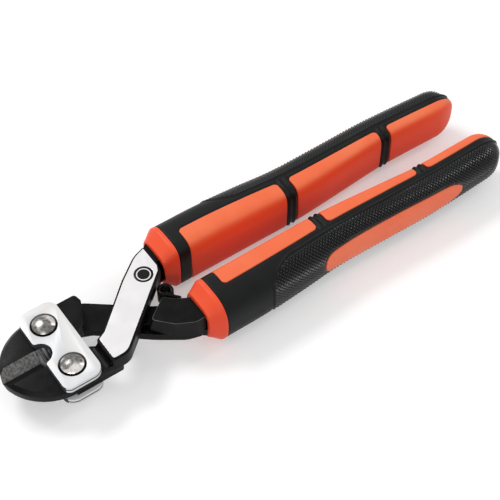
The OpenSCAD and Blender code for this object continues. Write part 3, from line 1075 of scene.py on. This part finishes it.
@dataclass(frozen=True)
class GripShape:
    """The outer shape of a grip, read by station along it and angle round it.

    The angle is 0 on the outer side, 90 degrees on top and 180 on the inner
    side. Past cap_start the station is the arc over the rounded end.
    """

    line: Table = (
        (52, 17.25), (60, 16.8), (80, 16.45), (100, 15.6), (116, 14.8), (130, 15.0),
        (150, 15.75), (165, 16.3), (180, 16.2), (200, 15.9),
    )
    outer: Table = (
        (52, 11.0), (60, 11.2), (80, 11.4), (100, 11.2), (116, 10.8), (130, 10.6),
        (160, 10.0), (180, 9.5), (199, 8.8),
    )
    inner: Table = (
        (52, 10.2), (60, 10.2), (80, 9.9), (100, 9.3), (116, 8.8), (130, 8.4),
        (160, 7.3), (172, 7.0), (199, 7.3),
    )
    height: Table = (
        (52, 12.5), (60, 12.5), (80, 12.5), (100, 12.0), (116, 11.4), (130, 11.15),
        (160, 10.8), (180, 10.4), (199, 10.0),
    )
    cap_start: float = 199.0
    cap_reach: float = 11.9
    outer_square: float = 2.6
    inner_square: float = 4.5
    known: dict = field(default_factory=dict, compare=False, repr=False)

    @property
    def last(self) -> float:
        """The station of the grip's very end."""
        return self.cap_start + self.cap_reach * math.pi / 2

    def bulge(self, station: float) -> float:
        """Angle over the rounded end, 0 before it."""
        return max(station - self.cap_start, 0.0) / self.cap_reach

    def look_up(self, station: float) -> tuple[float, float, float, float, float]:
        """Gives outer and inner half width, half height, middle line and fade at the end."""
        if station not in self.known:
            x = min(station, self.cap_start)
            self.known[station] = (
                along(self.outer, x),
                along(self.inner, x),
                along(self.height, x),
                along(self.line, x),
                math.cos(min(self.bulge(station), math.pi / 2)),
            )
        return self.known[station]

    def radius(self, station: float, angle: float, lift: float = 0.0) -> float:
        """Distance from the middle line to the skin."""
        outer, inner, height, _, fade = self.look_up(station)
        if fade < 1e-4:
            return 0.0
        cosine = math.cos(angle)
        half, square = (outer, self.outer_square) if cosine > 0 else (inner, self.inner_square)
        n = 2 + (square - 2) * fade
        c = abs(cosine) / (half + lift)
        s = abs(math.sin(angle)) / (height + lift)
        return fade * (c**n + s**n) ** (-1 / n)

    def at(self, station: float, angle: float, lift: float = 0.0) -> Vector:
        """Gives a point on the skin, or lifted off it.

        Args:
            station: Where along the grip.
            angle: Where round it, in radians.
            lift: How far out of the skin, in millimetres.

        Returns:
            The point in tool millimetres.
        """
        r = self.radius(station, angle, lift)
        x = min(station, self.cap_start) + (self.cap_reach + lift) * math.sin(self.bulge(station))
        return Vector((x, self.known[station][3] + r * math.cos(angle), r * math.sin(angle)))

    def middle(self, x: float) -> float:
        """Place of the middle line across the tool."""
        return along(self.line, min(x, self.cap_start))

    def locate(self, point: Vector) -> tuple[float, float]:
        """Finds the station and the angle of a point near the skin."""
        station = point.x
        if station > self.cap_start:
            reach = min((station - self.cap_start) / self.cap_reach, 1)
            station = self.cap_start + math.asin(reach) * self.cap_reach
        return station, math.atan2(point.z, point.y - self.middle(point.x))


@dataclass
class Grip:
    """A moulded grip: collar, black body, orange panels, stripe and knurled pad."""

    space: ToolSpace
    finishes: Finishes
    side: Side
    shape: GripShape = field(default_factory=GripShape)
    mouth: float = 54.1
    collar_end: float = 60.7
    panel_line: Table = ((60, 89.5), (108, 90.5), (120, 92), (143, 95), (165, 98), (187, 100), (212, 104))
    strip_width: float = 2.6
    panel_starts: tuple[float, float, float] = (66.2, 119.6, 172.0)
    panel_ends: tuple[float, float, float] = (114.0, 166.6, 217.0)
    panel_names: tuple[str, str, str] = ("front", "middle", "rear")
    panel_seat: float = 0.5
    corner: float = 2.0
    rib: float = 0.36
    rib_groove: float = 0.4
    middle_groove: float = 0.35
    mouth_half: tuple[float, float] = (7.4, 6.7)
    mouth_shift: float = -0.95
    mouth_square: float = 3.6
    collar_seat: float = 1.2
    stripe_line: Table = (
        (110.5, 0.0), (110.8, 2.4), (112.5, 4.9), (117, 5.9), (130, 6.6), (153, 6.6),
        (170, 6.0), (177, 5.3), (180.8, 3.9), (183.2, 1.6), (183.5, 0.0),
    )
    pad_front: float = 83.0
    pad_slant: float = 13.0
    pad_curl: float = 4.4
    pad_reach: float = 1.6
    pad_seat: float = 0.45
    bead: float = 0.34
    bead_groove: float = 0.3
    knurl_pitch: float = 1.6
    knurl_depth: float = 0.65
    knurl_floor: float = -0.32
    merge: float = 2e-3

    # where each region lies

    def panel_edge(self, station: float, start: float, end: float) -> float:
        """Angle of a panel's upper edge, drawn in at its rounded corners."""
        angle = math.radians(along(self.panel_line, station))
        reach = station - start
        if end < self.shape.last - 1:
            reach = min(reach, end - station)
        if reach < self.corner:
            short = self.corner - max(reach, 0.0)
            inset = self.corner - math.sqrt(max(self.corner**2 - short**2, 0.0))
            angle += inset / self.shape.radius(station, angle)
        return angle

    def panel_depth(self, station: float, angle: float) -> float:
        """How far inside an orange panel a point lies, negative outside."""
        best = -99.0
        for start, end in zip(self.panel_starts, self.panel_ends):
            if not start - 3 < station < end + 3:
                continue
            near = min(max(station, start + 0.01), min(end, self.shape.last - 0.5) - 0.01)
            edge = self.panel_edge(near, start, end)
            across = (angle - edge) * self.shape.radius(near, edge)
            best = max(best, min(station - start, end - station, across))
        return best

    def pad_side(self, station: float) -> float:
        """Angle of the pad's upper edge."""
        height = self.shape.look_up(station)[2]
        return math.radians(along(self.panel_line, station)) - self.strip_width / height

    def pad_depth(self, station: float, angle: float) -> float:
        """How far inside the knurled pad a point lies, negative outside."""
        side = self.pad_side(min(station, self.shape.cap_start + 6))
        share = min(max(angle / side, 1e-3), 1.2)
        front = self.pad_front + self.pad_slant * share**self.pad_curl
        slope = self.pad_slant * self.pad_curl * share ** (self.pad_curl - 1) / side / 11.5
        ahead = (station - front) / math.sqrt(1 + slope**2)
        across = (side - angle) * self.shape.radius(station, angle)
        return min(ahead, across)

    def stripe_depth(self, station: float, angle: float) -> float:
        """How far inside the outer stripe a point lies, negative outside."""
        height = abs(self.shape.radius(station, angle) * math.sin(angle))
        first, last = self.stripe_line[0][0], self.stripe_line[-1][0]
        past = max(first - station, station - last)
        if past > 0:
            return -math.hypot(past, max(height - 2.4, 0.0))
        return along(self.stripe_line, station) - height

    def body_lift(self, station: float, angle: float) -> float:
        """Relief of the black body: seats for the skins, ribs, and the bead round the pad."""
        angle = abs(math.remainder(angle, math.tau))
        lift = -self.panel_seat * smooth_step(-0.35, 0.45, self.panel_depth(station, angle))
        edge = math.radians(along(self.panel_line, station))
        inner = smooth_step(-1.2, -0.2, (angle - edge) * 12)
        for end, start in zip(self.panel_ends, self.panel_starts[1:]):
            if end - 0.5 < station < start + 0.5:
                off = abs((station - end) / (start - end) - 0.5)
                band = self.rib * math.exp(-(((off - 0.24) / 0.08) ** 2))
                band -= self.rib_groove * smooth_step(0.3, 0.5, off)
                band -= self.middle_groove * (1 - smooth_step(0.06, 0.18, off))
                lift += inner * band
        pad = self.pad_depth(station, angle)
        calm = smooth_step(self.shape.last - 7, self.shape.last - 3, station)
        bead = self.bead * math.exp(-(((pad - 0.5) / 0.42) ** 2))
        bead -= self.bead_groove * math.exp(-(((pad + 0.45) / 0.3) ** 2))
        lift += bead * (1 - calm)
        lift -= self.pad_seat * max(smooth_step(0.9, 1.4, pad), calm)
        lift -= self.collar_seat * (1 - smooth_step(self.collar_end - 0.6, self.collar_end + 0.5, station))
        return lift

    # the pieces

    def body_mesh(self) -> Workpiece:
        """Lays the black body's skin and closes it behind the collar."""
        work = Workpiece()
        start = self.collar_end - 1.0

        def point(s: float, t: float) -> Vector:
            """A point of the body from its place on the grid."""
            station = start + (self.shape.last - start) * s
            angle = math.tau * t - math.pi
            return self.shape.at(station, angle, self.body_lift(station, angle))

        work.sheet(430, 128, point)
        bmesh.ops.remove_doubles(work.bm, verts=work.bm.verts, dist=self.merge)
        rim = [e for e in work.bm.edges if e.is_boundary]
        made = bmesh.ops.extrude_edge_only(work.bm, edges=rim)
        verts = [g for g in made["geom"] if isinstance(g, bmesh.types.BMVert)]
        centre = Vector((0, self.shape.middle(start), 0))
        bmesh.ops.scale(work.bm, vec=(1, 0.62, 0.62), space=Matrix.Translation(-centre), verts=verts)
        bmesh.ops.recalc_face_normals(work.bm, faces=work.bm.faces)
        return work

    def patch(
        self,
        rows: int,
        columns: int,
        start: float,
        end: float,
        edges: Callable[[float], tuple[float, float]],
        proud: float,
        rounding: float,
        open_end: bool = False,
    ) -> Workpiece:
        """Lays one skin patch with rounded rims over the grip.

        Args:
            rows: Steps along the grip.
            columns: Steps round it.
            start: Station of its front edge.
            end: Station of its rear edge.
            edges: Gives both side edges' angles at a station.
            proud: How far its face stands out of the skin.
            rounding: Radius of its rim.
            open_end: Whether its rear runs out over the grip's end.

        Returns:
            The patch, closed underneath.
        """
        work = Workpiece()

        def spread(t: float) -> float:
            """Crowds the steps towards both ends."""
            return (1 - math.cos(math.pi * t)) / 2

        def point(s: float, t: float) -> Vector:
            """A point of the patch from its place on the grid."""
            share = 1 - math.cos(math.pi / 2 * s) if open_end else spread(s)
            station = start + (end - start) * share
            low, high = edges(min(max(station, start + 0.004), end - 0.004))
            turn = spread(t)
            angle = low + (high - low) * turn
            r = self.shape.radius(station, angle)
            margin = min(station - start, (high - low) * r * min(turn, 1 - turn))
            if not open_end:
                margin = min(margin, end - station)
            short = max(rounding - margin, 0.0)
            drop = rounding - math.sqrt(max(rounding**2 - short**2, 0.0))
            return self.shape.at(station, angle, proud - drop)

        work.sheet(rows, columns, point)
        work.close(self.merge)
        self._face_out(work)
        bmesh.ops.solidify(work.bm, geom=work.bm.faces[:], thickness=0.8)
        bmesh.ops.recalc_face_normals(work.bm, faces=work.bm.faces)
        return work

    def _face_out(self, work: Workpiece) -> None:
        """Turns an open skin so that it faces away from the middle line."""
        score = 0.0
        for face in work.bm.faces:
            centre = face.calc_center_median()
            axis = Vector((centre.x, self.shape.middle(centre.x), 0))
            score += face.normal.dot(centre - axis) * face.calc_area()
        if score < 0:
            bmesh.ops.reverse_faces(work.bm, faces=work.bm.faces)

    def panel_mesh(self, index: int) -> Workpiece:
        """Lays one orange inner panel."""
        start, end = self.panel_starts[index], self.panel_ends[index]

        def edges(station: float) -> tuple[float, float]:
            """Both side edges at a station."""
            edge = self.panel_edge(station, start, end)
            return edge, math.tau - edge

        return self.patch(72, 64, start, end, edges, 0.05, 0.55, index == 2)

    def stripe_mesh(self) -> Workpiece:
        """Lays the outer orange stripe."""

        def edges(station: float) -> tuple[float, float]:
            """Both side edges at a station."""
            half = along(self.stripe_line, station)
            edge = half / 11
            for _ in range(4):
                edge = math.asin(min(half / self.shape.radius(station, edge), 1.0))
            return -edge, edge

        start, end = self.stripe_line[0][0], self.stripe_line[-1][0]
        return self.patch(120, 30, start, end, edges, 0.14, 0.5)

    def pad_mesh(self) -> Workpiece:
        """Lays the knurled pad: a lattice whose every second point is raised."""
        work = Workpiece()
        half = self.knurl_pitch / 2
        last = self.shape.last
        start = self.pad_front - 1
        end = last - 2.0
        rows = int((end - start) / half)
        columns = 2 * int(self.pad_reach * 10.4 / half)

        def point(s: float, t: float) -> Vector:
            """A point of the knurl from its place on the lattice."""
            station = start + (end - start) * s
            angle = (2 * t - 1) * self.pad_reach
            mask = smooth_step(0.8, 1.5, self.pad_depth(station, abs(angle)))
            mask *= 1 - smooth_step(-0.9, -0.3, self.stripe_depth(station, angle))
            mask *= 1 - smooth_step(last - 14, last - 8, station)
            tall = self.knurl_depth if (round(s * rows) + round(t * columns)) % 2 else 0.0
            return self.shape.at(station, angle, self.knurl_floor + tall * mask)

        def is_low(vert: bmesh.types.BMVert) -> bool:
            """Whether a point of the lattice is one that isn't raised."""
            station, angle = self.shape.locate(vert.co)
            row = round((station - start) / (end - start) * rows)
            return (row + round((angle / self.pad_reach + 1) / 2 * columns)) % 2 == 0

        def is_outside(face: bmesh.types.BMFace) -> bool:
            """Whether a face lies off the pad or under the stripe."""
            station, angle = self.shape.locate(face.calc_center_median())
            return self.pad_depth(station, abs(angle)) < 0.45 or self.stripe_depth(station, angle) > 0.9

        work.sheet(rows, columns, point)
        gone = [f for f in work.bm.faces if is_outside(f)]
        low = [v for v in work.bm.verts if is_low(v)]
        bmesh.ops.delete(work.bm, geom=gone, context="FACES")
        bmesh.ops.connect_verts(work.bm, verts=[v for v in low if v.is_valid])
        self._face_out(work)
        return work

    def collar_mesh(self) -> Workpiece:
        """Draws the collar: rim, flare, ridge and rear edge, with an open mouth."""
        work = Workpiece()
        middle = self.shape.middle(self.collar_end)
        length = self.collar_end - self.mouth
        # how far behind the mouth, then the share of the way out from the mouth to the skin
        rings = (
            (6.0, -0.2), (1.4, -0.19), (0.35, -0.14), (0.05, -0.08), (0.0, 0.0), (0.0, 0.2),
            (0.06, 0.28), (0.3, 0.34), (1.5, 0.51), (3.1, 0.76), (4.2, 0.93), (4.6, 0.985),
            (4.95, 1.008), (5.4, 1.012), (length - 0.4, 1.012), (length - 0.1, 0.995), (length, 0.95),
        )
        count = len(rings) - 1
        reaches, shares = ([(i, ring[k]) for i, ring in enumerate(rings)] for k in (0, 1))

        def point(s: float, t: float) -> Vector:
            """A point of the collar from its place on the grid."""
            angle = math.tau * t
            across, up = math.cos(angle), math.sin(angle)
            n = self.mouth_square
            hole = (abs(across / self.mouth_half[0]) ** n + abs(up / self.mouth_half[1]) ** n) ** (-1 / n)
            low = Vector((0, self.mouth_shift + hole * across, hole * up))
            skin = self.shape.radius(self.collar_end, angle)
            high = Vector((0, skin * across, skin * up))
            spot = low.lerp(high, along(shares, s * count))
            return spot + Vector((self.mouth + along(reaches, s * count), middle, 0))

        work.sheet(count * 5, 128, point)
        bmesh.ops.remove_doubles(work.bm, verts=work.bm.verts, dist=self.merge)
        bmesh.ops.bridge_loops(work.bm, edges=[e for e in work.bm.edges if e.is_boundary])
        bmesh.ops.recalc_face_normals(work.bm, faces=work.bm.faces)
        return work

    def build(self) -> None:
        """Makes every piece of the grip."""
        word = self.side.value
        body = f"{word}_handle"
        f = self.finishes
        jobs = [
            ("collar", self.collar_mesh(), f.collar, "orange_rubber", 60),
            ("grip_body", self.body_mesh(), f.black, "black_rubber", 60),
            ("textured_pad", self.pad_mesh(), f.knurl, "black_rubber", 15),
            ("side_stripe", self.stripe_mesh(), f.stripe, "orange_rubber", 60),
        ]
        for index, panel in enumerate(self.panel_names):
            jobs.append((f"inner_panel_{panel}", self.panel_mesh(index), f.orange, "orange_rubber", 60))
        for name, work, material, slot, sharp in jobs:
            piece = work.place(f"{word}_{name}_moulding", [material], self.space, self.side, sharp)
            seat(piece, body, slot, f"{word}_{name}")


# ---------------------------------------------------------------- pins


@dataclass
class Pins:
    """The hidden pins keep their CAD shape and get the rivets' steel."""

    finishes: Finishes

    def build(self) -> None:
        """Dresses the pins."""
        for node in ("upper_arm_pin", "lower_arm_pin", "centre_pin"):
            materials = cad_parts[node].data.materials
            for i in range(len(materials)):
                materials[i] = self.finishes.rivet
            LOG.info("%s keeps its shape", node)


# ---------------------------------------------------------------- studio


@dataclass
class Studio:
    """Camera, floor, lamps and the pale surroundings."""

    space: ToolSpace
    target: tuple[float, float, float] = (89.80, -0.95, 0.18)
    azimuth: float = 35.01
    elevation: float = 52.15
    distance: float = 557.1
    lens: float = 97.34

    floor_drop: float = 0.0002

    def hang(self, name: str, data: bpy.types.ID, place: Vector, towards: Vector) -> bpy.types.Object:
        """Puts a lamp or the camera in its place, looking along a direction."""
        piece = bpy.data.objects.new(name, data)
        piece.location = place
        piece.rotation_euler = towards.to_track_quat("-Z", "Y").to_euler()
        bpy.context.scene.collection.objects.link(piece)
        return piece

    def camera(self) -> None:
        """Sets the camera up, above the jaws' side of the tool."""
        az, el = math.radians(self.azimuth), math.radians(self.elevation)
        back = Vector((-math.sin(az) * math.cos(el), -math.cos(az) * math.cos(el), math.sin(el)))
        data = bpy.data.cameras.new("studio_camera")
        data.lens = self.lens
        data.sensor_width = 36.0
        data.clip_start = 0.01
        place = self.space.point(*self.target) + back * self.distance * MM
        bpy.context.scene.camera = self.hang("studio_camera", data, place, -back)

    def lamp(
        self, name: str, place: tuple[float, float, float], size: tuple[float, float], power: float
    ) -> None:
        """Hangs one soft box that points at the tool.

        Args:
            name: The lamp's name.
            place: Where it hangs, in metres from the tool's middle.
            size: Its width and height in metres.
            power: Its power in watts.
        """
        data = bpy.data.lights.new(name, "AREA")
        data.shape = "RECTANGLE"
        data.size, data.size_y = size
        data.energy = power
        self.hang(name, data, Vector(place), -Vector(place))

    def surroundings(self) -> None:
        """Makes a world that lights softly and looks white."""
        world = bpy.data.worlds.new("studio_world")
        bpy.context.scene.world = world
        nodes = Nodes(world)
        soft, white = (
            nodes.node("ShaderNodeBackground", {"Color": (1.0, 1.0, 1.0, 1.0), "Strength": strength})
            for strength in (0.6, 1.0)
        )
        mix = nodes.node("ShaderNodeMixShader", {0: nodes.seen(), 1: soft.outputs[0], 2: white.outputs[0]})
        nodes.node("ShaderNodeOutputWorld", {"Surface": mix.outputs[0]})

    def floor(self) -> None:
        """Lays a plain pale floor under the tool, with a faint glow that only shows."""
        bm = bmesh.new()
        bmesh.ops.create_grid(bm, x_segments=4, y_segments=4, size=3.0)
        bmesh.ops.translate(bm, vec=(0, 0, -self.floor_drop), verts=bm.verts)
        mesh = bpy.data.meshes.new("studio_floor")
        bm.to_mesh(mesh)
        g = Graph("pale_floor")
        glow = g.mix(g.seen(), (0.0, 0.0, 0.0), (0.3, 0.3, 0.3))
        g.finish(Base_Color=(0.8, 0.8, 0.8), Roughness=0.9, Specular_IOR_Level=0.1, Emission_Color=glow)
        g.shader.inputs["Emission Strength"].default_value = 1.0
        mesh.materials.append(g.material)
        floor = bpy.data.objects.new("studio_floor", mesh)
        bpy.context.scene.collection.objects.link(floor)

    def build(self) -> None:
        """Lights the set."""
        self.surroundings()
        self.floor()
        self.lamp("key_box", (-0.25, 0.8, 1.0), (0.55, 0.3), 7.0)
        self.lamp("front_strip", (-0.75, -0.75, 0.55), (0.9, 0.12), 2.4)
        self.lamp("rear_strip", (1.1, -0.1, 0.8), (0.15, 0.8), 1.8)


def main() -> None:
    """Builds the whole tool and its studio."""
    logging.basicConfig(level=logging.INFO, format="%(name)s: %(message)s")
    bpy.context.scene.view_settings.view_transform = "Standard"
    space = ToolSpace.from_frame()
    studio = Studio(space)
    studio.camera()
    finishes = Finishes()
    Head(space, finishes).build()
    Jaw(space, finishes, Side.LOWER, "lower_jaw", "lower_jaw_lever").build()
    Jaw(space, finishes, Side.UPPER, "upper_jaw", "upper_jaw_lever").build()
    CoverStrip(space, finishes, Side.UPPER, "top", "lower_jaw_lever").build()
    CoverStrip(space, finishes, Side.LOWER, "bottom", "upper_jaw_lever").build()
    for side in Side:
        HandleBar(space, finishes, side).build()
        Grip(space, finishes, side).build()
    TorsionSpring(space, finishes).build()
    Pins(finishes).build()
    studio.build()


if __name__ == "__main__":
    main()
